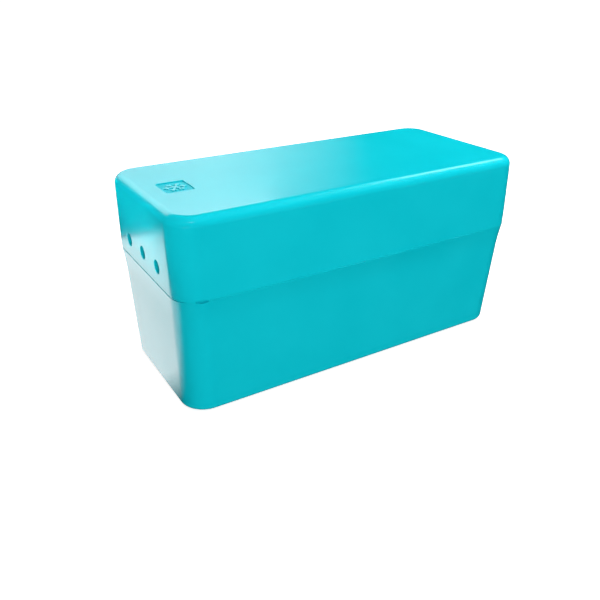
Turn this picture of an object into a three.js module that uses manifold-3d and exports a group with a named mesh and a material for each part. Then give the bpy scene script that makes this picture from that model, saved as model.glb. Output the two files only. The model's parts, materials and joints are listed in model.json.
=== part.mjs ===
// A hinged cryogenic storage box for 10 mL vials: a deep tub with a raised collar, a lid that hinges on two steel
// pins at the back and has three vent holes in each end, and a lift-out divider of slotted strips.
// Millimetres, +Z up, +X along the box, front at -Y, hinge at +Y. The origin is the middle of the whole object's
// footprint, on the surface that the box stands on.
import * as THREE from "three";
import { mergeVertices } from "three/addons/utils/BufferGeometryUtils.js";
import Module from "manifold-3d";

const wasm = await Module();
wasm.setup();

// ---- Driving dimensions -------------------------------------------------------------------------------------
const LENGTH = 200;
const WIDTH = 91; // of the shells, without the hinge
const HEIGHT = 100;
const SEAM = 61.5; // height at which the lid meets the tub
const CORNER = 12.9; // radius of the upright corners, seen from above
const GAP = 0.3; // clearance between pieces that rest on each other or turn in each other

const WALL = 2.05; // thickness of the lid's walls, and of the tub's at the floor
const LID_TOP = 2.4;
const LID_RIM = 4.7; // radius of the lid's upper edge, outside
const LID_RIM_INSIDE = 3;
const LID_STRAIGHT = 7.3; // height of the lid's upright band above the seam
const LID_LEAN = 0.37; // how far the lid's walls lean in from there to the top

const FLARE_HEIGHT = 12; // the band below the seam in which the tub widens to meet the lid
const FLARE = { x: 0.8, y: 1.5 };
const TUB_LEAN = { x: 1.3, y: 3.2 }; // how far the tub's walls lean in from that band to the foot
const FOOT_RIM = 2; // radius of the tub's lower edge
const FOOT_WIDTH = 6; // the tub stands on a rim this wide, round a shallow hollow
const FOOT_HEIGHT = 1.2;
const FLOOR = 2.5;

const COLLAR_HEIGHT = 4; // how far the tub's collar stands up inside the lid
const COLLAR_WALL = 1.4;
const COLLAR_GAP = 0.35;

const VENT_RADIUS = 3.25;
const VENT_HEIGHT = 9.3; // of the vents' centres above the seam
const PITCH = 19.05; // from cell to cell, and from vent to vent

const PANEL = { x: -81, length: 14, width: 16, depth: 0.5, corner: 1 }; // blank panel sunk in the lid's top

const CELLS_LONG = 10;
const CELLS_WIDE = 4;
const STRIP_THICK = 1.2;
const STRIP_HEIGHT = 50;
const STRIP_CORNER = 1.5; // chamfer at the upper ends
const STRIP_END_GAP = 0.4; // between a strip's end and the tub's wall

const HINGE_X = 55; // distance of each of the two hinges from the middle
const HINGE_OUT = 3.6; // distance of the hinge axis behind the wall
const EYE_RADIUS = 3.2;
const EYE_FROM = 0.45; // angle at which an eye leaves its gusset
const KNUCKLE_WIDTH = 14; // of the lid's eye, which turns between the tub's two ears
const EAR_WIDTH = 5.6;
const GUSSET = 11; // how far a gusset runs along the wall
const GUSSET_END = 0.2; // how far its far end stands off the wall
const PIN_RADIUS = 1.25;
const OPEN_ANGLE = THREE.MathUtils.degToRad(110); // where a heel on the knuckle meets the tub's wall
const HEEL_RADIUS = 4.1;
const HEEL_SPREAD = 0.5;

const CORNER_STEPS = 7;
const RIM_STEPS = 4;
const ROUND_STEPS = 16; // sides of a pin and of its hole
const THROUGH = 5; // how far a cutting tool runs past the faces that it cuts

// ---- Values worked out from them ----------------------------------------------------------------------------
const tubTop = SEAM - GAP / 2;
const lidBottom = SEAM + GAP / 2;
const collarTop = SEAM + COLLAR_HEIGHT;
const collarInset = WALL + COLLAR_GAP;
const mouthInset = collarInset + COLLAR_WALL;
const floorTop = FOOT_HEIGHT + FLOOR;
const footInset = { x: FLARE.x + TUB_LEAN.x, y: FLARE.y + TUB_LEAN.y };
const stripBottom = floorTop + GAP;
const axisY = WIDTH / 2 + HINGE_OUT;
const hingeReach = HINGE_OUT + EYE_RADIUS; // how far the hinge stands out behind the shells
const pinLength = KNUCKLE_WIDTH + 2 * (GAP + EAR_WIDTH);
const earX = KNUCKLE_WIDTH / 2 + GAP + EAR_WIDTH / 2;

// ---- Materials ----------------------------------------------------------------------------------------------
const turquoise = new THREE.MeshStandardMaterial({ color: 0x0bb6c6, roughness: 0.3, metalness: 0 });
const white = new THREE.MeshStandardMaterial({ color: 0xe9eef0, roughness: 0.45, metalness: 0 });
const steel = new THREE.MeshStandardMaterial({ color: 0xb9bcc0, roughness: 0.25, metalness: 1 });

// ---- Solids -------------------------------------------------------------------------------------------------
function solid(geometry) {
  const bare = geometry.index ? geometry.toNonIndexed() : geometry.clone();
  bare.deleteAttribute("normal");
  bare.deleteAttribute("uv");
  const merged = mergeVertices(bare, 1e-4);
  const vertProperties = merged.attributes.position.array;
  const triVerts = new Uint32Array(merged.index.array);
  return new wasm.Manifold(new wasm.Mesh({ numProp: 3, vertProperties, triVerts }));
}

function geometryOf(manifold) {
  const { vertProperties, triVerts } = manifold.getMesh();
  const indexed = new THREE.BufferGeometry();
  indexed.setAttribute("position", new THREE.BufferAttribute(new Float32Array(vertProperties), 3));
  indexed.setIndex(new THREE.BufferAttribute(new Uint32Array(triVerts), 1));
  const geometry = indexed.toNonIndexed();
  geometry.computeVertexNormals();
  return geometry;
}

const joined = (solids) => solids.reduce((all, one) => all.add(one));
const cutBy = (body, tools) => tools.reduce((rest, tool) => rest.subtract(tool), body);

function roundedRectangle(halfX, halfY, radius) {
  const shape = new THREE.Shape();
  const corners = [
    [1, 1],
    [-1, 1],
    [-1, -1],
    [1, -1],
  ];
  corners.forEach(([sideX, sideY], i) => {
    const start = (i * Math.PI) / 2;
    shape.absarc(sideX * (halfX - radius), sideY * (halfY - radius), radius, start, start + Math.PI / 2, false);
  });
  return shape;
}

// The outside or the inside of a shell: an upright prism with round corners, whose rings are then moved to their
// places. Each ring has its height z, how far its sides stand in from the outline, x and y, and on a rounded edge
// how much its corners have shrunk as well, edge.
function ringBody(halfX, halfY, radius, rings) {
  const geometry = new THREE.ExtrudeGeometry(roundedRectangle(halfX, halfY, radius), {
    depth: rings.length - 1,
    steps: rings.length - 1,
    curveSegments: CORNER_STEPS,
    bevelEnabled: false,
  });
  const moved = (value, half, inset, edge) => {
    const centre = Math.sign(value) * (half - radius);
    return centre - Math.sign(value) * inset + ((value - centre) * (radius - edge)) / radius;
  };
  const position = geometry.attributes.position;
  for (let i = 0; i < position.count; i++) {
    const { z, x, y, edge = 0 } = rings[Math.round(position.getZ(i))];
    position.setXYZ(i, moved(position.getX(i), halfX, x, edge), moved(position.getY(i), halfY, y, edge), z);
  }
  return solid(geometry);
}

// The rings of a quarter round between upright sides and a level face: an upper edge (up = 1) or a lower (up = -1).
function roundedEdge(faceZ, radius, up, insetAt) {
  const rings = [];
  for (let i = 0; i <= RIM_STEPS; i++) {
    const angle = ((i / RIM_STEPS) * Math.PI) / 2;
    const z = faceZ - up * radius * (1 - Math.sin(angle));
    rings.push({ z, ...insetAt(z), edge: radius * (1 - Math.cos(angle)) });
  }
  return up > 0 ? rings : rings.reverse();
}

// How far z is from z0 to z1, from 0 to 1.
const part = (z, z0, z1) => THREE.MathUtils.clamp((z - z0) / (z1 - z0), 0, 1);

function rodAlongX(radius, length, steps) {
  return new THREE.CylinderGeometry(radius, radius, length, steps).rotateZ(Math.PI / 2);
}

// ---- Hinges -------------------------------------------------------------------------------------------------
// One of the tub's ears (up = -1) or the lid's knuckle (up = 1): a round eye with a gusset that runs along the
// wall and is rooted in it. It is drawn in the Y-Z plane about the hinge axis, and drawn out along X. A heel is a
// corner that stands out of the eye at the angle given.
function hingeEye(x, width, up, root, heel) {
  const rootY = -HINGE_OUT - root;
  const shape = new THREE.Shape();
  const arc = (from, to) => shape.absarc(0, 0, EYE_RADIUS, from, to, up > 0);
  shape.moveTo(rootY, up * GUSSET);
  shape.lineTo(GUSSET_END - HINGE_OUT, up * GUSSET);
  if (heel) {
    arc(EYE_FROM, heel + HEEL_SPREAD);
    shape.lineTo(HEEL_RADIUS * Math.cos(heel), HEEL_RADIUS * Math.sin(heel));
    arc(heel - HEEL_SPREAD, EYE_FROM - Math.PI);
  } else {
    arc(up * EYE_FROM, up * (EYE_FROM - Math.PI));
  }
  shape.lineTo(GAP / 2 - EYE_RADIUS, up * GAP);
  shape.lineTo(rootY, up * GAP);
  const geometry = new THREE.ExtrudeGeometry(shape, { depth: width, curveSegments: 14, bevelEnabled: false });
  geometry.rotateY(Math.PI / 2).rotateX(Math.PI / 2);
  geometry.translate(x - width / 2, axisY, SEAM);
  return solid(geometry);
}

const hinges = [
  { side: "left", x: -HINGE_X },
  { side: "right", x: HINGE_X },
];

function pinHoles() {
  return hinges.map(({ x }) => {
    const hole = rodAlongX(PIN_RADIUS + GAP, pinLength + 2 * THROUGH, ROUND_STEPS);
    return solid(hole.translate(x, axisY, SEAM));
  });
}

// ---- Tub ----------------------------------------------------------------------------------------------------
function tubInset(z) {
  const flare = 1 - part(z, SEAM - FLARE_HEIGHT, SEAM);
  const lean = 1 - part(z, 0, SEAM - FLARE_HEIGHT);
  return { x: FLARE.x * flare + TUB_LEAN.x * lean, y: FLARE.y * flare + TUB_LEAN.y * lean };
}

// The tub's inner walls lean evenly from the mouth of the collar to the floor.
function wellInset(z) {
  const down = 1 - part(z, floorTop, collarTop);
  const inset = (axis) => mouthInset + (footInset[axis] + WALL + GAP - mouthInset) * down;
  return { x: inset("x"), y: inset("y") };
}

function tub() {
  const halfX = LENGTH / 2;
  const halfY = WIDTH / 2;
  const bandZ = SEAM - FLARE_HEIGHT;
  const shell = ringBody(halfX, halfY, CORNER, [
    ...roundedEdge(0, FOOT_RIM, -1, tubInset),
    { z: bandZ, ...tubInset(bandZ) },
    { z: tubTop, ...tubInset(tubTop) },
  ]);
  const collar = ringBody(halfX - collarInset, halfY - collarInset, CORNER - collarInset, [
    { z: bandZ, x: 0, y: 0 },
    { z: collarTop, x: 0, y: 0 },
  ]);
  const ears = hinges.flatMap(({ x }) => [-1, 1].map((end) => hingeEye(x + end * earX, EAR_WIDTH, -1, WALL)));
  const well = ringBody(halfX, halfY, CORNER - mouthInset, [
    { z: floorTop, ...wellInset(floorTop) },
    { z: collarTop + THROUGH, ...wellInset(collarTop) },
  ]);
  const footHollow = ringBody(halfX - FOOT_WIDTH, halfY - FOOT_WIDTH, CORNER - FOOT_WIDTH, [
    { z: -THROUGH, ...footInset },
    { z: FOOT_HEIGHT, ...footInset },
  ]);
  return cutBy(joined([shell, collar, ...ears]), [well, footHollow, ...pinHoles()]);
}

// ---- Lid ----------------------------------------------------------------------------------------------------
function lidInset(z) {
  const lean = LID_LEAN * part(z, SEAM + LID_STRAIGHT, HEIGHT);
  return { x: lean, y: lean };
}

function ventHole(y) {
  const hole = rodAlongX(VENT_RADIUS, LENGTH + 2 * THROUGH, 24);
  return solid(hole.translate(0, y, SEAM + VENT_HEIGHT));
}

function panelHollow() {
  const shape = roundedRectangle(PANEL.length / 2, PANEL.width / 2, PANEL.corner);
  const geometry = new THREE.ExtrudeGeometry(shape, { depth: THROUGH, curveSegments: 3, bevelEnabled: false });
  return solid(geometry.translate(PANEL.x, 0, HEIGHT - PANEL.depth));
}

function lid() {
  const bandZ = SEAM + LID_STRAIGHT;
  const shell = ringBody(LENGTH / 2, WIDTH / 2, CORNER, [
    { z: lidBottom, x: 0, y: 0 },
    { z: bandZ, x: 0, y: 0 },
    ...roundedEdge(HEIGHT, LID_RIM, 1, lidInset),
  ]);
  const hollow = ringBody(LENGTH / 2 - WALL, WIDTH / 2 - WALL, CORNER - WALL, [
    { z: lidBottom - THROUGH, x: 0, y: 0 },
    { z: bandZ, x: 0, y: 0 },
    ...roundedEdge(HEIGHT - LID_TOP, LID_RIM_INSIDE, 1, lidInset),
  ]);
  const heel = OPEN_ANGLE - Math.PI + Math.acos(HINGE_OUT / HEEL_RADIUS);
  const knuckles = hinges.map(({ x }) => hingeEye(x, KNUCKLE_WIDTH, 1, WALL / 2, heel));
  const vents = [-PITCH, 0, PITCH].map(ventHole);
  return cutBy(joined([cutBy(shell, [hollow]), ...knuckles]), [...vents, panelHollow(), ...pinHoles()]);
}

// ---- Divider ------------------------------------------------------------------------------------------------
// A strip stands on edge. Each strip that crosses it has a slot there, open at the top or at the bottom edge and
// half the strip's height deep. Its ends lean with the tub's walls.
function strip(half, axis, crossings, slotsOpenAt) {
  const endX = (z) => half - wellInset(z)[axis] - STRIP_END_GAP;
  const bottomX = endX(stripBottom);
  const topX = endX(stripBottom + STRIP_HEIGHT);
  const slotHalf = STRIP_THICK / 2 + GAP;
  const shape = new THREE.Shape();
  const slottedEdge = (z, along) => {
    const depthZ = (STRIP_HEIGHT + along * GAP) / 2;
    for (const x of along > 0 ? crossings : [...crossings].reverse()) {
      shape.lineTo(x - along * slotHalf, z);
      shape.lineTo(x - along * slotHalf, depthZ);
      shape.lineTo(x + along * slotHalf, depthZ);
      shape.lineTo(x + along * slotHalf, z);
    }
  };
  shape.moveTo(-bottomX, 0);
  if (slotsOpenAt === "bottom") {
    slottedEdge(0, 1);
  }
  shape.lineTo(bottomX, 0);
  shape.lineTo(topX, STRIP_HEIGHT - STRIP_CORNER);
  shape.lineTo(topX - STRIP_CORNER, STRIP_HEIGHT);
  if (slotsOpenAt === "top") {
    slottedEdge(STRIP_HEIGHT, -1);
  }
  shape.lineTo(STRIP_CORNER - topX, STRIP_HEIGHT);
  shape.lineTo(-topX, STRIP_HEIGHT - STRIP_CORNER);
  const geometry = new THREE.ExtrudeGeometry(shape, { depth: STRIP_THICK, bevelEnabled: false });
  return geometry.translate(0, 0, -STRIP_THICK / 2).rotateX(Math.PI / 2);
}

const wallsBetween = (cells) => Array.from({ length: cells - 1 }, (_, i) => (i + 1 - cells / 2) * PITCH);

// ---- Assembly -----------------------------------------------------------------------------------------------
const object = new THREE.Group();
const box = new THREE.Group();
box.position.y = -hingeReach / 2; // the hinge stands out behind, so the shells sit forward of the middle
object.add(box);

function place(name, geometry, material, x = 0, y = 0, z = 0) {
  const mesh = new THREE.Mesh(geometry, material);
  mesh.name = name;
  mesh.position.set(x, y, z);
  box.add(mesh);
  return mesh;
}

place("base_tub", geometryOf(tub()), turquoise);
place("lid", geometryOf(lid()), turquoise);

for (const { side, x } of hinges) {
  place(`hinge_pin_${side}`, rodAlongX(PIN_RADIUS, pinLength, ROUND_STEPS), steel, x, axisY, SEAM);
}

const divider = { x: wallsBetween(CELLS_LONG), y: wallsBetween(CELLS_WIDE) };

divider.y.forEach((y, i) => {
  place(`long_divider_${i + 1}`, strip(LENGTH / 2, "x", divider.x, "top"), white, 0, y, stripBottom);
});

divider.x.forEach((x, i) => {
  const geometry = strip(WIDTH / 2, "y", divider.y, "bottom");
  place(`cross_divider_${i + 1}`, geometry, white, x, 0, stripBottom).rotation.z = Math.PI / 2;
});

export default object;
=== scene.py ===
"""A hinged cryogenic storage box: its finished shapes and materials, a floor, lights and a camera, in metres.

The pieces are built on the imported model: +X runs along the box, +Y to its hinges and +Z up. Each shape is
drawn about the middle of the shells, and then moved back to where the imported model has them.
"""

import json
import math

import bmesh
import bpy
from mathutils import Matrix, Vector


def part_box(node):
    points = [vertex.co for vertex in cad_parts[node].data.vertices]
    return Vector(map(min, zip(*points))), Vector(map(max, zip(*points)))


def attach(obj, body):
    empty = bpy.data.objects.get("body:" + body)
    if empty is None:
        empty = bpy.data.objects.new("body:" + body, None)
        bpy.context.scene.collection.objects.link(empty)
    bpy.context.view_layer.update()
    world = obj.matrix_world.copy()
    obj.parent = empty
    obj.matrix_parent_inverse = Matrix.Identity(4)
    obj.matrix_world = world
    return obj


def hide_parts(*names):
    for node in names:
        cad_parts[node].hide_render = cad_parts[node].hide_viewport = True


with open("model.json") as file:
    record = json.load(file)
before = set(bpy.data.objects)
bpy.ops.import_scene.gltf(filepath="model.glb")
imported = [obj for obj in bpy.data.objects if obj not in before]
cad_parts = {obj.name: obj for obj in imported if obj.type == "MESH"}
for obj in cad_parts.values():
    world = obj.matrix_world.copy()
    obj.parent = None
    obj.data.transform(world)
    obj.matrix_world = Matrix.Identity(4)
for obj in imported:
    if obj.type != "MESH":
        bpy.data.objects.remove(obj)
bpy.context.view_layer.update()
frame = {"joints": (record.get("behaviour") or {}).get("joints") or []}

# ---- Dimensions ----------------------------------------------------------------------------------------
MM = 0.001

hinge_joint = next(j for j in frame["joints"] if j["name"] == "lid_hinge")
strip_low, strip_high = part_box("cross_divider_5")
tub_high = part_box("base_tub")[1]
lid_low, lid_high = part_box("lid")

MIDDLE_Y = (strip_low.y + strip_high.y) / 2  # of the shells; the hinges stand out behind them
HALF_X = lid_high.x
HALF_Y = MIDDLE_Y - lid_low.y
HEIGHT = lid_high.z
SEAM = hinge_joint["pos_m"][2]
HINGE_Y = hinge_joint["pos_m"][1] - MIDDLE_Y
COLLAR_TOP = tub_high.z
STRIP_BOTTOM = strip_low.z
STRIP_HEIGHT = strip_high.z - strip_low.z
STRIP_THICK = strip_high.x - strip_low.x
STRIP_END_GAP = 0.4 * MM
STRIP_CHAMFER = 1.5 * MM  # at the two upper corners
STRIP_FOOT_CHAMFER = 1 * MM  # at the two lower ones, which clears the round foot of the tub's walls
SLOT_FLARE = 0.7 * MM

CORNER = 12.9 * MM  # radius of the upright corners, seen from above
GAP = 0.3 * MM  # clearance between pieces that rest on each other or turn in each other
WALL = 2.05 * MM
LID_TOP = 2.4 * MM
LID_RIM = 4.7 * MM  # radius of the lid's upper edge
LID_RIM_INSIDE = 3 * MM
LID_MOUTH_EDGE = 0.5 * MM
LID_STRAIGHT = 7.3 * MM  # height of the lid's upright band above the seam
LID_LEAN = 0.37 * MM  # how far its walls lean in above that band
SEAM_GAP = 0.03 * MM  # between the lid and the tub along the two long sides
SEAM_EDGE = 0.12 * MM  # radius of the two edges that meet at the seam
RIM_BOW = 0.55 * MM  # how far the tub's long walls bow out at the rim, half way along
END_DIP = 0.4 * MM  # how much lower the tub's rim lies at its two ends

FLARE_HEIGHT = 12 * MM  # the band below the seam in which the tub widens to meet the lid
FLARE = Vector((0.8, 1.5)) * MM  # how much it widens there, along x and y
TUB_LEAN = Vector((1.3, 3.2)) * MM  # the same from the foot up to that band
FOOT_RIM = 2 * MM  # radius of the tub's lower edge
FOOT_WIDTH = 6 * MM
FOOT_HEIGHT = 1.2 * MM  # and so the depth of the hollow inside the foot
FOOT_EDGE = 0.5 * MM
HOLLOW_CORNER = 0.4 * MM
FLOOR_TOP = STRIP_BOTTOM - GAP
FLOOR_CORNER = 2 * MM
COLLAR_GAP = 0.35 * MM  # between the collar and the lid's wall round it
COLLAR_INSET = WALL + COLLAR_GAP
COLLAR_WALL = 1.4 * MM
COLLAR_EDGE = 0.5 * MM
COLLAR_ROOT = 0.3 * MM
MOUTH_INSET = COLLAR_INSET + COLLAR_WALL
PATH_STEP = 4 * MM  # the longest stretch of wall between two rings of a shell

RIB_PROUD = 1.3 * MM
RIB_ROOT = 0.6 * MM  # how far a rib reaches into the wall
RIB_WIDTH = 1 * MM
RIB_LEAD = 2.2 * MM  # height of its slanted top
RIB_ABOVE = 1.5 * MM  # how far it reaches above the strips

VENT_RADIUS = 3.25 * MM
VENT_EDGE = 0.4 * MM
VENT_HEIGHT = 9.3 * MM  # above the seam
PITCH = 19.05 * MM  # of the cells and of the vents
PANEL_X = -81 * MM
PANEL_HALF = Vector((7, 8)) * MM
PANEL_CORNER = 1.2 * MM
PANEL_DEPTH = 0.5 * MM
PANEL_FLARE = 0.25 * MM
EMBLEM_HEIGHT = 0.35 * MM

NOTCH_X = -90 * MM
NOTCH_HALF = Vector((3.3, 1.7, 0.9)) * MM  # half its size along x, y and z

HINGE_X = 55 * MM
HINGE_OUT = HINGE_Y - HALF_Y
EYE_RADIUS = 3.2 * MM
EYE_FROM = 0.45  # angle at which an eye leaves its gusset
KNUCKLE_WIDTH = 14 * MM
EAR_WIDTH = 5.6 * MM
GUSSET = 11 * MM  # how far it runs up or down the wall
GUSSET_END = 0.2 * MM  # how far it stands out there
HEEL_RADIUS = 4.1 * MM  # of the heel that meets the tub's wall when the lid is fully open
HEEL_SPREAD = 0.5  # angle from the heel to where it leaves the eye, to either side
OPEN_ANGLE = math.radians(hinge_joint["range_deg"][1])
PIN_RADIUS = 1.25 * MM
PIN_DOME = 0.45 * MM  # radius of the edges of its ends
PIN_SUNK = 0.2 * MM  # how far its ends lie inside the ears

DIMPLE_MOUTH = 4 * MM  # radii of the gate's dimple at its mouth and its floor
DIMPLE_FLOOR = 3.6 * MM
DIMPLE_SIDE = 0.35 * MM  # depth of its upright side, below which it narrows
DIMPLE_DEPTH = 0.5 * MM
MARK_RADIUS = 4 * MM  # of the ejector marks under the tub
MARK_X = 70 * MM
MARK_Y = 22 * MM
LID_MARK_RADIUS = 3.5 * MM
LID_MARK_X = 72 * MM
LID_MARK_Y = 24 * MM
MARK_DEPTH = 0.15 * MM
BEYOND = 1 * MM  # how far a cutting tool runs out of the level face that it cuts

CORNER_STEPS = 16
LONG_STEPS = 44
SHORT_STEPS = 16
ARC_STEPS = 8

LID_MIDDLE = Vector((0, 0, HEIGHT))
BOX_MIDDLE = Vector((0, 0, HEIGHT / 2))


def walls_between(cells):
    """Where the strips stand that part a row of cells."""
    return [(i + 1 - cells / 2) * PITCH for i in range(cells - 1)]


STRIPS_X = walls_between(cells=10)
STRIPS_Y = walls_between(cells=4)


# ---- Mesh tools ----------------------------------------------------------------------------------------
def object_from(name, bm):
    """Turns a bmesh into an object, and uses the bmesh up."""
    bmesh.ops.recalc_face_normals(bm, faces=bm.faces)
    mesh = bpy.data.meshes.new(name)
    bm.to_mesh(mesh)
    bm.free()
    obj = bpy.data.objects.new(name, mesh)
    bpy.context.scene.collection.objects.link(obj)
    return obj


def combine(obj, tool, operation):
    """Joins (UNION) or cuts (DIFFERENCE) obj with a tool, and uses the tool up."""
    modifier = obj.modifiers.new(operation, "BOOLEAN")
    modifier.operation = operation
    modifier.solver = "EXACT"
    modifier.object = tool
    graph = bpy.context.evaluated_depsgraph_get()
    before = obj.data
    obj.data = bpy.data.meshes.new_from_object(obj.evaluated_get(graph))
    if not obj.data.polygons:
        raise ValueError(f"{tool.name} left nothing of {obj.name}")
    obj.modifiers.clear()
    bpy.data.meshes.remove(before)
    bpy.data.objects.remove(tool)


def place(x_axis, y_axis, origin):
    """The matrix that puts a drawing's x and y axes along two directions, with its middle at origin."""
    x_axis, y_axis = Vector(x_axis), Vector(y_axis)
    z_axis = x_axis.cross(y_axis)
    return Matrix.Translation(origin) @ Matrix((x_axis, y_axis, z_axis)).transposed().to_4x4()


def rounded_path(corners, longest):
    """A path of (across, up) through corners (across, up, radius), with each corner rounded to its radius and
    each straight stretch divided into parts no longer than `longest`."""
    points = [Vector(corners[0][:2])]
    for before, corner, after in zip(corners, corners[1:], corners[2:]):
        here = Vector(corner[:2])
        back = (Vector(before[:2]) - here).normalized()
        on = (Vector(after[:2]) - here).normalized()
        half = back.angle(on) / 2
        centre = here + (back + on).normalized() * corner[2] / math.sin(half)
        first = here + back * corner[2] / math.tan(half) - centre
        last = here + on * corner[2] / math.tan(half) - centre
        sweep = first.angle(last)
        for i in range(ARC_STEPS + 1):
            t = i / ARC_STEPS
            spoke = first * math.sin((1 - t) * sweep) + last * math.sin(t * sweep)
            points.append(centre + spoke / math.sin(sweep))
    points.append(Vector(corners[-1][:2]))
    path = [points[0]]
    for start, end in zip(points, points[1:]):
        parts = math.ceil((end - start).length / longest)
        path += [start.lerp(end, (i + 1) / parts) for i in range(parts)]
    return path


def ring(half_x, half_y, radius, z):
    """The points of a level rounded rectangle: the same number whatever its size."""
    points = []
    for k, (side_x, side_y) in enumerate([(1, 1), (-1, 1), (-1, -1), (1, -1)]):
        for i in range(CORNER_STEPS + 1):
            angle = (k + i / CORNER_STEPS) * math.pi / 2
            x = side_x * (half_x - radius) + radius * math.cos(angle)
            y = side_y * (half_y - radius) + radius * math.sin(angle)
            points.append(Vector((x, y, z)))
        if k % 2:
            along = Vector((0, -side_y, 0))
            length = 2 * (half_y - radius)
            steps = SHORT_STEPS
        else:
            along = Vector((-side_y, 0, 0))
            length = 2 * (half_x - radius)
            steps = LONG_STEPS
        start = points[-1]
        points += [start + along * (length * i / steps) for i in range(1, steps)]
    return points


def loft(bm, rings):
    """Adds the closed solid that runs through rings of points and is flat at both ends."""
    loops = [[bm.verts.new(point) for point in points] for points in rings]
    for low, high in zip(loops, loops[1:]):
        for i in range(len(low)):
            bm.faces.new((low[i - 1], low[i], high[i], high[i - 1]))
    bm.faces.new(loops[0])
    bm.faces.new(loops[-1])


def turned(bm, profile, matrix, steps=40):
    """Adds a solid of revolution about the drawing's x axis. The profile is (along, radius). Its corners
    stand half a step round from the y and z axes, so that they don't line up with those of the shell."""
    angles = [2 * math.pi * (i + 0.5) / steps for i in range(steps)]
    circle = [(math.cos(a), math.sin(a)) for a in angles]
    loft(bm, [[matrix @ Vector((x, r * c, r * s)) for c, s in circle] for x, r in profile])


def prism(bm, outline, low, high, matrix):
    """Adds the solid between an outline at z low and the same at z high. Its edges are sharp."""
    loft(bm, [[matrix @ Vector((x, y, z)) for x, y in outline] for z in (low, high)])


def smooth(obj, sharp=40):
    """Shades the object smoothly, apart from edges that turn by more than `sharp` degrees."""
    obj.data.shade_smooth()
    obj.data.set_sharp_from_angle(angle=math.radians(sharp))
    weighted = obj.modifiers.new("even_shading", "WEIGHTED_NORMAL")
    weighted.keep_sharp = True
    weighted.weight = 100


def add_piece(obj, body, slot, material, *stands_for):
    """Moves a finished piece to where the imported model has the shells, and has it ride on its body."""
    obj.data.transform(Matrix.Translation((0, MIDDLE_Y, 0)))
    obj.data.materials.clear()
    obj.data.materials.append(material)
    smooth(obj)
    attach(obj, body)
    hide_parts(*stands_for)


# ---- Walls ---------------------------------------------------------------------------------------------
def part(z, low, high):
    """How far z is from low to high, from 0 to 1."""
    return min(1.0, max(0.0, (z - low) / (high - low)))


def tub_lean(z):
    """How far the tub's outer walls stand in at a height, along x and y."""
    flare = 1 - part(z, SEAM - FLARE_HEIGHT, SEAM) ** 1.3
    return FLARE * flare + TUB_LEAN * (1 - part(z, 0, SEAM - FLARE_HEIGHT))


def well_lean(z):
    """The same for the tub's inner walls, counted from the mouth of the collar."""
    foot = FLARE + TUB_LEAN + Vector((1, 1)) * (WALL + GAP - MOUTH_INSET)
    return foot * (1 - part(z, FLOOR_TOP, COLLAR_TOP))


def lid_lean(z):
    """How far the lid's walls stand in at a height, along x and y."""
    return Vector((1, 1)) * LID_LEAN * part(z, SEAM + LID_STRAIGHT, HEIGHT) ** 1.5


def warped(points, share):
    """Bows a ring's two long sides outwards and lowers its two ends, by a share of the warp at the rim."""
    for point in points:
        middle = max(0, 1 - (point.x / HALF_X) ** 2) ** 1.5
        end = part(abs(point.x), HALF_X - CORNER / 3, HALF_X - CORNER / 8)
        point.y += math.copysign(share * RIM_BOW * middle, point.y)
        point.z -= share * END_DIP * end
    return points


def shell(name, path, lean_at, warp_at=lambda inset, z: 0):
    """A shell of rounded-rectangle rings that follow a path of (inset from the outline, height). Its first
    and last rings lie on level faces, and one flat face fills each."""
    bm = bmesh.new()
    rings = []
    for i, (inset, z) in enumerate(path):
        lean = lean_at(i, z)
        points = ring(HALF_X - inset - lean.x, HALF_Y - inset - lean.y, CORNER - inset, z)
        rings.append(warped(points, warp_at(inset, z)))
    loft(bm, rings)
    return object_from(name, bm)


def seam_notch():
    """A small notch for a fingernail, where the lid and the tub meet near a front corner."""
    bm = bmesh.new()
    bmesh.ops.create_uvsphere(bm, u_segments=24, v_segments=12, radius=1)
    beside = NOTCH_X + HALF_X - CORNER
    front = math.sqrt(CORNER ** 2 - beside ** 2) + HALF_Y - CORNER
    for vert in bm.verts:
        vert.co = Vector((NOTCH_X, -front, SEAM)) + vert.co * NOTCH_HALF
    return object_from("seam_notch", bm)


# ---- Hinges --------------------------------------------------------------------------------------------
def arc(radius, start, end, steps=24):
    """Points round the hinge axis from one angle to another."""
    angles = [start + (end - start) * i / steps for i in range(steps + 1)]
    return [(radius * math.cos(a), radius * math.sin(a)) for a in angles]


def eye_outline(up, root, heel=None):
    """An eye with a gusset that runs along the wall and reaches into it by `root`, drawn about the hinge
    axis. `up` is 1 above the seam and -1 below it. `heel` is the angle of its heel, if it has one."""
    outline = [(-HINGE_OUT - root, up * GUSSET), (GUSSET_END - HINGE_OUT, up * GUSSET)]
    if heel is None:
        outline += arc(EYE_RADIUS, up * EYE_FROM, up * (EYE_FROM - math.pi))
    else:
        outline += arc(EYE_RADIUS, EYE_FROM, heel + HEEL_SPREAD, 8)
        outline.append((HEEL_RADIUS * math.cos(heel), HEEL_RADIUS * math.sin(heel)))
        outline += arc(EYE_RADIUS, heel - HEEL_SPREAD, EYE_FROM - math.pi, 12)
    outline += [(GAP / 2 - EYE_RADIUS, up * GAP), (-HINGE_OUT - root, up * GAP)]
    return outline


def hinge_place(x):
    """The place of an outline that is drawn about the hinge axis, with its middle at x."""
    return place((0, 1, 0), (0, 0, 1), (x, HINGE_Y, SEAM))


def pin_holes():
    bm = bmesh.new()
    reach = KNUCKLE_WIDTH / 2 + EAR_WIDTH + 3 * MM  # runs out past both ears
    for x in (-HINGE_X, HINGE_X):
        matrix = Matrix.Translation((x, HINGE_Y, SEAM))
        turned(bm, [(-reach, PIN_RADIUS + GAP / 2), (reach, PIN_RADIUS + GAP / 2)], matrix)
    return object_from("pin_holes", bm)


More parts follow.
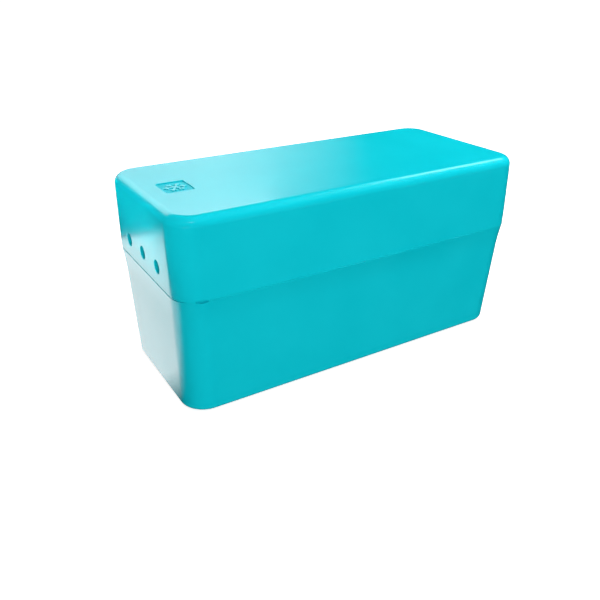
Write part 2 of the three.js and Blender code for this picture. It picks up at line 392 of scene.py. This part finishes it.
def hinge_pin(name, x, material):
    bm = bmesh.new()
    half = KNUCKLE_WIDTH / 2 + GAP + EAR_WIDTH - PIN_SUNK
    angles = [i * math.pi / 12 for i in range(7)]
    end = [(half - PIN_DOME * (1 - math.sin(a)), PIN_RADIUS - PIN_DOME * (1 - math.cos(a))) for a in angles]
    profile = [(-along, radius) for along, radius in reversed(end)] + end
    turned(bm, profile, Matrix.Translation((x, HINGE_Y, SEAM)))
    add_piece(object_from(name + "_wire", bm), "base", "pin", material, name)


# ---- Tub -----------------------------------------------------------------------------------------------
def strip_rib(bm, wall, along, side, offset):
    """A guide rib on the tub's inner wall. It stands beside a strip's end, leans with the wall and has a
    slanted top that leads the strip in. `wall` is the axis across the wall, 0 or 1."""
    half = (HALF_X, HALF_Y)[wall] - MOUTH_INSET
    bottom = FLOOR_TOP - GAP
    top = STRIP_BOTTOM + STRIP_HEIGHT + RIB_ABOVE
    profile = [(-RIB_ROOT, bottom), (RIB_PROUD, bottom), (RIB_PROUD, top - RIB_LEAD), (-RIB_ROOT, top)]
    loops = []
    for edge in (-RIB_WIDTH / 2, RIB_WIDTH / 2):
        corners = []
        for depth, z in profile:
            across = side * (half - well_lean(z)[wall] - depth)
            run = along + offset + edge
            corners.append(Vector((across, run, z) if wall == 0 else (run, across, z)))
        loops.append(corners)
    loft(bm, loops)


def strip_ribs():
    bm = bmesh.new()
    beside = STRIP_THICK / 2 + GAP + RIB_WIDTH / 2
    for side in (-1, 1):
        for offset in (-beside, beside):
            for y in STRIPS_Y:
                strip_rib(bm, 0, y, side, offset)
            for x in STRIPS_X:
                strip_rib(bm, 1, x, side, offset)
    return object_from("strip_ribs", bm)


def tub_ears():
    bm = bmesh.new()
    ear_x = KNUCKLE_WIDTH / 2 + GAP
    for x in (-HINGE_X, HINGE_X):
        for low, high in ((-ear_x - EAR_WIDTH, -ear_x), (ear_x, ear_x + EAR_WIDTH)):
            prism(bm, eye_outline(-1, WALL), low, high, hinge_place(x))
    return object_from("tub_ears", bm)


def upright(x, y, z):
    """The place of a round tool that cuts upwards into a level face."""
    return place((0, 0, 1), (1, 0, 0), (x, y, z))


def add_marks(bm, radius, columns, rows, z):
    """Adds the tools for the shallow round marks that a mould's ejectors leave."""
    for x in columns:
        for y in rows:
            turned(bm, [(-BEYOND, radius), (MARK_DEPTH, radius)], upright(x, y, z))


def underside_marks():
    """The gate's dimple and the ejector marks in the hollow under the tub."""
    bm = bmesh.new()
    dimple = [(-BEYOND, DIMPLE_MOUTH), (DIMPLE_SIDE, DIMPLE_MOUTH), (DIMPLE_DEPTH, DIMPLE_FLOOR)]
    turned(bm, dimple, upright(0, 0, FOOT_HEIGHT))
    add_marks(bm, MARK_RADIUS, (-MARK_X, MARK_X), (-MARK_Y, MARK_Y), FOOT_HEIGHT)
    return object_from("underside_marks", bm)


def tub(material):
    path = rounded_path(
        [
            (MOUTH_INSET + 6 * MM, FLOOR_TOP, 0),
            (MOUTH_INSET, FLOOR_TOP, FLOOR_CORNER),
            (MOUTH_INSET, COLLAR_TOP, COLLAR_EDGE),
            (COLLAR_INSET, COLLAR_TOP, COLLAR_EDGE),
            (COLLAR_INSET, SEAM - SEAM_GAP / 2, COLLAR_ROOT),
            (0, SEAM - SEAM_GAP / 2, SEAM_EDGE),
            (0, 0, FOOT_RIM),
            (FOOT_WIDTH, 0, FOOT_EDGE),
            (FOOT_WIDTH, FOOT_HEIGHT, HOLLOW_CORNER),
            (FOOT_WIDTH + 4 * MM, FOOT_HEIGHT, 0),
        ],
        PATH_STEP,
    )
    mouth = max(range(len(path)), key=lambda i: path[i].y)
    obj = shell(
        "base_tub_shell",
        path,
        lean_at=lambda i, z: (well_lean if i <= mouth else tub_lean)(z),
        warp_at=lambda inset, z: part(z, SEAM - FLARE_HEIGHT, SEAM) ** 2 if inset < WALL / 2 else 0,
    )
    combine(obj, tub_ears(), "UNION")
    combine(obj, strip_ribs(), "UNION")
    combine(obj, underside_marks(), "DIFFERENCE")
    combine(obj, seam_notch(), "DIFFERENCE")
    combine(obj, pin_holes(), "DIFFERENCE")
    add_piece(obj, "base", "shell", material, "base_tub")


# ---- Lid -----------------------------------------------------------------------------------------------
def vent_holes():
    """The tools that cut the vents, flared at both faces of the wall."""
    bm = bmesh.new()
    skin = 0.02 * MM  # the flare meets the face at a slight angle
    flare = []
    for i in range(9):
        angle = i * math.pi / 16
        along = VENT_EDGE * (1 - math.cos(angle)) - skin
        flare.append((along, VENT_RADIUS + VENT_EDGE * (1 - math.sin(angle))))
    inside = [(WALL - along, radius) for along, radius in reversed(flare)]
    beyond = 2 * MM
    wide = VENT_RADIUS + VENT_EDGE
    profile = [(-beyond, wide), *flare, *inside, (WALL + beyond, wide)]
    for side in (-1, 1):
        for y in (-PITCH, 0, PITCH):
            matrix = place((-side, 0, 0), (0, 0, 1), (side * HALF_X, y, SEAM + VENT_HEIGHT))
            turned(bm, profile, matrix, steps=48)
    return object_from("vent_holes", bm)


def panel_hollow():
    """The tool that sinks the panel into the lid's top, with a rounded edge."""
    levels = [(0, HEIGHT - PANEL_DEPTH)]
    for i in range(6):
        angle = i * math.pi / 10.5  # to just short of a right angle, so that it meets the top at a slight one
        levels.append((PANEL_FLARE * (1 - math.cos(angle)), HEIGHT - PANEL_FLARE * (1 - math.sin(angle))))
    levels.append((PANEL_FLARE, HEIGHT + BEYOND))
    centre = Vector((PANEL_X, 0, 0))
    rings = []
    for grown, z in levels:
        points = ring(PANEL_HALF.x + grown, PANEL_HALF.y + grown, PANEL_CORNER + grown, z)
        rings.append([point + centre for point in points])
    bm = bmesh.new()
    loft(bm, rings)
    return object_from("panel_hollow", bm)


def snowflake():
    """A plain six-armed snowflake, raised in the panel."""
    half = 0.45 * MM  # of the width of its arms and twigs
    arm = 5.6 * MM
    twig_at = 3.1 * MM
    twig = 1.5 * MM
    root = 0.3 * MM  # how far it reaches into the panel's floor
    lean = math.radians(60)
    side = Vector((math.cos(lean), math.sin(lean)))
    across = Vector((-side.y, side.x))
    right = [
        Vector((half / math.tan(math.pi / 6), half)),
        Vector((twig_at, half)),
        Vector((twig_at, half)) + side * twig,
        Vector((twig_at, half)) + side * twig - across * 2 * half,
        Vector((twig_at + 2 * half / math.sin(lean), half)),
        Vector((arm, half)),
    ]
    outline = []
    for k in range(6):
        turn = Matrix.Rotation(k * math.pi / 3, 2)
        outline += [turn @ Vector((p.x, -p.y)) for p in right[1:]]
        outline += [turn @ p for p in reversed(right)]
    bm = bmesh.new()
    matrix = Matrix.Translation((PANEL_X, 0, HEIGHT - PANEL_DEPTH))
    prism(bm, outline, -root, EMBLEM_HEIGHT, matrix)
    return object_from("snowflake", bm)


def lid_knuckles():
    bm = bmesh.new()
    heel = OPEN_ANGLE - math.pi + math.acos(HINGE_OUT / HEEL_RADIUS)
    for x in (-HINGE_X, HINGE_X):
        outline = eye_outline(1, WALL / 2, heel)
        prism(bm, outline, -KNUCKLE_WIDTH / 2, KNUCKLE_WIDTH / 2, hinge_place(x))
    return object_from("lid_knuckles", bm)


def ceiling_marks():
    """The ejector marks on the lid's ceiling."""
    bm = bmesh.new()
    columns = (-LID_MARK_X, 0, LID_MARK_X)
    add_marks(bm, LID_MARK_RADIUS, columns, (-LID_MARK_Y, LID_MARK_Y), HEIGHT - LID_TOP)
    return object_from("ceiling_marks", bm)


def in_panel(point):
    """Whether a point of the finished lid lies on the floor of the sunk panel."""
    inside = abs(point.x - PANEL_X) < PANEL_HALF.x and abs(point.y - MIDDLE_Y) < PANEL_HALF.y
    return inside and abs(point.z - (HEIGHT - PANEL_DEPTH)) < 0.01 * MM


def lid(material, panel_material):
    path = rounded_path(
        [
            (WALL + 9 * MM, HEIGHT - LID_TOP, 0),
            (WALL, HEIGHT - LID_TOP, LID_RIM_INSIDE),
            (WALL, SEAM + SEAM_GAP / 2, LID_MOUTH_EDGE),
            (0, SEAM + SEAM_GAP / 2, SEAM_EDGE),
            (0, HEIGHT, LID_RIM),
            (LID_RIM + 4 * MM, HEIGHT, 0),
        ],
        PATH_STEP,
    )
    obj = shell("lid_shell", path, lambda i, z: lid_lean(z))
    combine(obj, lid_knuckles(), "UNION")
    combine(obj, vent_holes(), "DIFFERENCE")
    combine(obj, panel_hollow(), "DIFFERENCE")
    combine(obj, snowflake(), "UNION")
    combine(obj, ceiling_marks(), "DIFFERENCE")
    combine(obj, seam_notch(), "DIFFERENCE")
    combine(obj, pin_holes(), "DIFFERENCE")
    add_piece(obj, "lid", "shell", material, "lid")
    obj.data.materials.append(panel_material)
    for face in obj.data.polygons:
        face.material_index = int(in_panel(face.center))


# ---- Divider -------------------------------------------------------------------------------------------
def slotted_edge(crossings, z, along):
    """One long edge of a strip, at height z, with a slot at each crossing. A slot's mouth is flared to lead
    the other strip in. `along` is 1 for the lower edge and -1 for the upper one, which is drawn backwards."""
    half = STRIP_THICK / 2 + GAP
    bottom = (STRIP_HEIGHT + along * GAP) / 2
    points = []
    for x in crossings if along > 0 else reversed(crossings):
        points += [
            (x - along * (half + SLOT_FLARE), z),
            (x - along * half, z + along * SLOT_FLARE),
            (x - along * half, bottom),
            (x + along * half, bottom),
            (x + along * half, z + along * SLOT_FLARE),
            (x + along * (half + SLOT_FLARE), z),
        ]
    return points


def strip(name, axis, at, crossings, slots_open_at, material):
    """A strip that runs along an axis, 0 or 1, with its ends leaning as the tub's walls do."""
    half = (HALF_X, HALF_Y)[axis] - MOUTH_INSET - STRIP_END_GAP
    low = half - well_lean(STRIP_BOTTOM)[axis]
    high = half - well_lean(STRIP_BOTTOM + STRIP_HEIGHT)[axis]
    outline = [(-low, STRIP_FOOT_CHAMFER), (STRIP_FOOT_CHAMFER - low, 0)]
    if slots_open_at == "bottom":
        outline += slotted_edge(crossings, 0, 1)
    outline += [(low - STRIP_FOOT_CHAMFER, 0), (low, STRIP_FOOT_CHAMFER)]
    outline += [(high, STRIP_HEIGHT - STRIP_CHAMFER), (high - STRIP_CHAMFER, STRIP_HEIGHT)]
    if slots_open_at == "top":
        outline += slotted_edge(crossings, STRIP_HEIGHT, -1)
    outline += [(STRIP_CHAMFER - high, STRIP_HEIGHT), (-high, STRIP_HEIGHT - STRIP_CHAMFER)]
    run = ((1, 0, 0), (0, 1, 0))[axis]
    origin = (0, at, STRIP_BOTTOM) if axis == 0 else (at, 0, STRIP_BOTTOM)
    bm = bmesh.new()
    prism(bm, outline, -STRIP_THICK / 2, STRIP_THICK / 2, place(run, (0, 0, 1), origin))
    add_piece(object_from(name + "_strip", bm), "divider_grid", "divider", material, name)


# ---- Materials -----------------------------------------------------------------------------------------
PLASTIC_IOR = 1.49  # of polypropylene


class Nodes:
    """A material's nodes, made and joined by short calls."""

    def __init__(self, name):
        self.material = bpy.data.materials.new(name)
        self.material.use_nodes = True
        self.tree = self.material.node_tree
        self.shader = self.tree.nodes["Principled BSDF"]
        self.place = self.add("ShaderNodeTexCoord").outputs["Object"]

    def add(self, kind, **values):
        node = self.tree.nodes.new(kind)
        for key, value in values.items():
            setattr(node, key, value)
        return node

    def join(self, output, socket):
        self.tree.links.new(output, socket)

    def feed(self, name, output):
        """Joins an output to the shader's input of that name."""
        self.join(output, self.shader.inputs[name])

    def noise(self, size, detail=2.0, stretch=(1, 1, 1)):
        """Noise whose features are about `size` across, from 0 to 1."""
        mapping = self.add("ShaderNodeMapping")
        mapping.inputs["Scale"].default_value = stretch
        self.join(self.place, mapping.inputs["Vector"])
        node = self.add("ShaderNodeTexNoise")
        node.inputs["Scale"].default_value = 1 / size
        node.inputs["Detail"].default_value = detail
        self.join(mapping.outputs["Vector"], node.inputs["Vector"])
        return node.outputs["Fac"]

    def spread(self, value, low, high, start=0.3, end=0.7):
        """Maps a value from the range start to end on to the range low to high."""
        node = self.add("ShaderNodeMapRange")
        node.inputs["From Min"].default_value = start
        node.inputs["From Max"].default_value = end
        node.inputs["To Min"].default_value = low
        node.inputs["To Max"].default_value = high
        self.join(value, node.inputs["Value"])
        return node.outputs["Result"]

    def mix(self, amount, first, second):
        """A colour between two, by an amount from 0 to 1."""
        node = self.add("ShaderNodeMix", data_type="RGBA")
        self.join(amount, node.inputs["Factor"])
        node.inputs["A"].default_value = (*first, 1)
        node.inputs["B"].default_value = (*second, 1)
        return node.outputs["Result"]

    def total(self, first, second):
        node = self.add("ShaderNodeMath", operation="ADD")
        self.join(first, node.inputs[0])
        self.join(second, node.inputs[1])
        return node.outputs["Value"]

    def bump(self, height, depth, onto=None):
        """Roughens the surface by a height from 0 to 1, `depth` deep."""
        node = self.add("ShaderNodeBump")
        node.inputs["Distance"].default_value = depth
        self.join(height, node.inputs["Height"])
        if onto:
            self.join(onto, node.inputs["Normal"])
        return node.outputs["Normal"]

    def set(self, **values):
        """Sets the shader's inputs, named with underscores for spaces."""
        for key, value in values.items():
            self.shader.inputs[key.replace("_", " ")].default_value = value


def turquoise_plastic():
    """Glossy moulded polypropylene: faint flow clouds in the colour, scuffs in the gloss, and a surface with
    very shallow waves, wide ones like sink marks, smaller ones like orange peel, and fine grain."""
    nodes = Nodes("turquoise_plastic")
    clouds = nodes.spread(nodes.noise(35 * MM, 3), 0, 1)
    nodes.feed("Base Color", nodes.mix(clouds, (0.003, 0.515, 0.605), (0.005, 0.545, 0.635)))
    haze = nodes.spread(nodes.noise(22 * MM, 4), 0.16, 0.20)
    scuffs = nodes.spread(nodes.noise(1.2 * MM, 3, (1, 1, 6)), 0, 0.07, 0.6, 0.8)
    nodes.feed("Roughness", nodes.total(haze, scuffs))
    sink = nodes.bump(nodes.noise(45 * MM, 1), 0.05 * MM)
    peel = nodes.bump(nodes.noise(5 * MM, 2), 0.005 * MM, sink)
    nodes.feed("Normal", nodes.bump(nodes.noise(0.5 * MM, 2), 0.0003 * MM, peel))
    nodes.set(IOR=PLASTIC_IOR, Subsurface_Weight=0.4, Subsurface_Scale=2 * MM)
    nodes.set(Subsurface_Radius=(0.4, 1.0, 1.0))
    return nodes.material


def panel_plastic():
    """The same plastic with the grain of a spark-eroded mould."""
    nodes = Nodes("panel_plastic")
    nodes.set(Base_Color=(0.004, 0.50, 0.59, 1), IOR=PLASTIC_IOR)
    nodes.set(Subsurface_Weight=0.12, Subsurface_Scale=1.5 * MM)
    grain = nodes.noise(0.35 * MM, 2)
    nodes.feed("Roughness", nodes.spread(grain, 0.55, 0.68))
    nodes.feed("Normal", nodes.bump(grain, 0.03 * MM))
    return nodes.material


def divider_plastic():
    """Uncoloured polypropylene: milky, a little waxy, with fine drag marks along the mould's draw."""
    nodes = Nodes("divider_plastic")
    clouds = nodes.spread(nodes.noise(14 * MM, 3), 0, 1)
    nodes.feed("Base Color", nodes.mix(clouds, (0.74, 0.79, 0.80), (0.80, 0.84, 0.845)))
    nodes.feed("Roughness", nodes.spread(nodes.noise(5 * MM, 3), 0.38, 0.50))
    nodes.feed("Normal", nodes.bump(nodes.noise(0.5 * MM, 2, (1, 1, 0.08)), 0.006 * MM))
    nodes.set(IOR=PLASTIC_IOR, Subsurface_Weight=0.35, Subsurface_Scale=2 * MM)
    return nodes.material


def pin_steel():
    """Drawn stainless wire, with fine lines along it."""
    nodes = Nodes("pin_steel")
    nodes.set(Base_Color=(0.56, 0.565, 0.57, 1), Metallic=1.0)
    lines = nodes.noise(0.25 * MM, 3, (0.05, 1, 1))
    nodes.feed("Roughness", nodes.spread(lines, 0.22, 0.36))
    nodes.feed("Normal", nodes.bump(lines, 0.002 * MM))
    return nodes.material


# ---- Floor, lights and camera --------------------------------------------------------------------------
def camera():
    """Stands where the photo was taken from, and is turned and zoomed as that camera was."""
    data = bpy.data.cameras.new("camera")
    data.sensor_width = 36
    data.lens = 39.24
    data.clip_start = 0.01
    obj = bpy.data.objects.new("camera", data)
    location = Vector((-183.9, -286.6, 192.05)) * MM
    aim = Vector((-22.9, -20.0, 32.4)) * MM
    obj.location = location
    obj.rotation_euler = (aim - location).to_track_quat("-Z", "Y").to_euler()
    bpy.context.scene.collection.objects.link(obj)
    bpy.context.scene.camera = obj


def floor():
    """A plain white sheet, lit from within so that the box's shadow on it stays faint. It is dimmer round the
    box, where the lamps light it as well. It neither lights the box nor shows in it."""
    bm = bmesh.new()
    bmesh.ops.create_circle(bm, cap_ends=True, radius=6, segments=64)
    obj = object_from("floor", bm)
    nodes = Nodes("floor_white")
    nodes.set(Base_Color=(0.5, 0.5, 0.5, 1), Roughness=0.9, Emission_Color=(1, 1, 1, 1))
    nodes.set(Specular_IOR_Level=0.0)
    distance = nodes.add("ShaderNodeVectorMath", operation="LENGTH")
    nodes.join(nodes.place, distance.inputs[0])
    nodes.feed("Emission Strength", nodes.spread(distance.outputs["Value"], 0.8, 1.05, 0.2, 1.2))
    nodes.material.cycles.emission_sampling = "NONE"
    obj.data.materials.append(nodes.material)
    obj.visible_diffuse = False
    obj.visible_glossy = False


def surroundings():
    """A plain white background, which lights nothing."""
    world = bpy.data.worlds.new("surroundings")
    bpy.context.scene.world = world
    world.use_nodes = True
    background = world.node_tree.nodes["Background"]
    background.inputs["Color"].default_value = (1, 1, 1, 1)
    background.inputs["Strength"].default_value = 1.0
    world.cycles_visibility.diffuse = False
    world.cycles_visibility.glossy = False


def soft_light(name, location, aim, size, brightness, diffuse=True, glossy=True, spread=180):
    """A rectangular soft light. Its brightness is that of its face, where 1 is white."""
    data = bpy.data.lights.new(name, "AREA")
    data.shape = "RECTANGLE"
    data.size, data.size_y = size
    data.energy = brightness * math.pi * size[0] * size[1]
    data.spread = math.radians(spread)
    obj = bpy.data.objects.new(name, data)
    obj.location = location
    obj.rotation_euler = (Vector(aim) - Vector(location)).to_track_quat("-Z", "Y").to_euler()
    obj.visible_camera = False
    obj.visible_diffuse = diffuse
    obj.visible_glossy = glossy
    bpy.context.scene.collection.objects.link(obj)
    return obj


def light_around(name, azimuth, elevation, distance, size, brightness):
    """A soft light that faces the middle of the lid. Azimuth 0 is towards +X and 90 is towards +Y."""
    turn = Matrix.Rotation(math.radians(azimuth), 3, "Z") @ Matrix.Rotation(-math.radians(elevation), 3, "Y")
    return soft_light(name, LID_MIDDLE + turn @ Vector((distance, 0, 0)), LID_MIDDLE, size, brightness)


def fade_one_side(light, start, end, axis="X"):
    """Fades a soft light in from nothing between two shares of its length along its own x or y axis."""
    light.use_nodes = True
    tree = light.node_tree
    across = tree.nodes.new("ShaderNodeSeparateXYZ")
    tree.links.new(tree.nodes.new("ShaderNodeNewGeometry").outputs["Parametric"], across.inputs["Vector"])
    fade = tree.nodes.new("ShaderNodeMapRange")
    fade.inputs["From Min"].default_value = start
    fade.inputs["From Max"].default_value = end
    tree.links.new(across.outputs[axis], fade.inputs["Value"])
    tree.links.new(fade.outputs["Result"], tree.nodes["Emission"].inputs["Strength"])


def studio():
    """Lamps that aren't glossy light the box and don't show in its plastic. The others show there: the key
    and the room lamp as highlights, the window on the top, and the end card on the tub's left end."""
    soft_light("overhead", (0, 0, 2), (0, 0, 0), (3, 3), 1.3, glossy=False)
    soft_light("right_lamp", (0.35, 0, 0.45), LID_MIDDLE, (0.3, 0.3), 8.2, glossy=False)
    soft_light("right_front_lamp", (0.35, -0.25, 0.5), LID_MIDDLE, (0.3, 0.3), 1.3, glossy=False)
    soft_light("front_fill", (-0.6, -1.5, 0.13), BOX_MIDDLE, (0.8, 0.5), 15.5, glossy=False)
    soft_light("front_low_fill", (0.16, -0.5, 0.035), (0.03, 0, 0.035), (0.6, 0.06), 5.5, glossy=False)
    soft_light("left_fill", (-0.8, -0.65, 0.12), BOX_MIDDLE, (0.4, 0.3), 5.5, glossy=False)
    soft_light("right_fill", (1.5, 0.3, 0.25), BOX_MIDDLE, (0.8, 0.5), 6, glossy=False)
    soft_light("back_fill", (0.3, 1.5, 0.25), BOX_MIDDLE, (0.8, 0.5), 12, glossy=False)
    light_around("key", 12, 42, 0.62, (0.18, 0.18), 3.4)
    light_around("room_lamp", -118, 50, 1.0, (0.25, 0.16), 3)
    window = light_around("window", 80, 18, 1.0, (1.2, 0.54), 1.1)
    fade_one_side(window.data, 0.07, 0.35)
    light_around("window_top", 87, 27, 0.98, (0.82, 0.2), 1.2)
    soft_light("end_strip", (-0.3, 0.02, 0.09), (0, 0.02, 0.09), (0.11, 0.04), 0.98, glossy=False, spread=15)
    beside = Vector((-0.138, 0.083, 0.001))
    above = beside + Vector((0, 0, 1))
    card = soft_light("end_card", beside, above, (0.08, 0.228), 2.05, diffuse=False)
    fade_one_side(card.data, 0.0, 0.12, "Y")


bpy.context.scene.view_settings.view_transform = "Standard"

camera()
floor()
surroundings()
studio()

shell_plastic = turquoise_plastic()
tub(shell_plastic)
lid(shell_plastic, panel_plastic())
steel = pin_steel()
hinge_pin("hinge_pin_left", -HINGE_X, steel)
hinge_pin("hinge_pin_right", HINGE_X, steel)
natural = divider_plastic()
for i, y in enumerate(STRIPS_Y):
    strip(f"long_divider_{i + 1}", 0, y, STRIPS_X, "top", natural)
for i, x in enumerate(STRIPS_X):
    strip(f"cross_divider_{i + 1}", 1, x, STRIPS_Y, "bottom", natural)
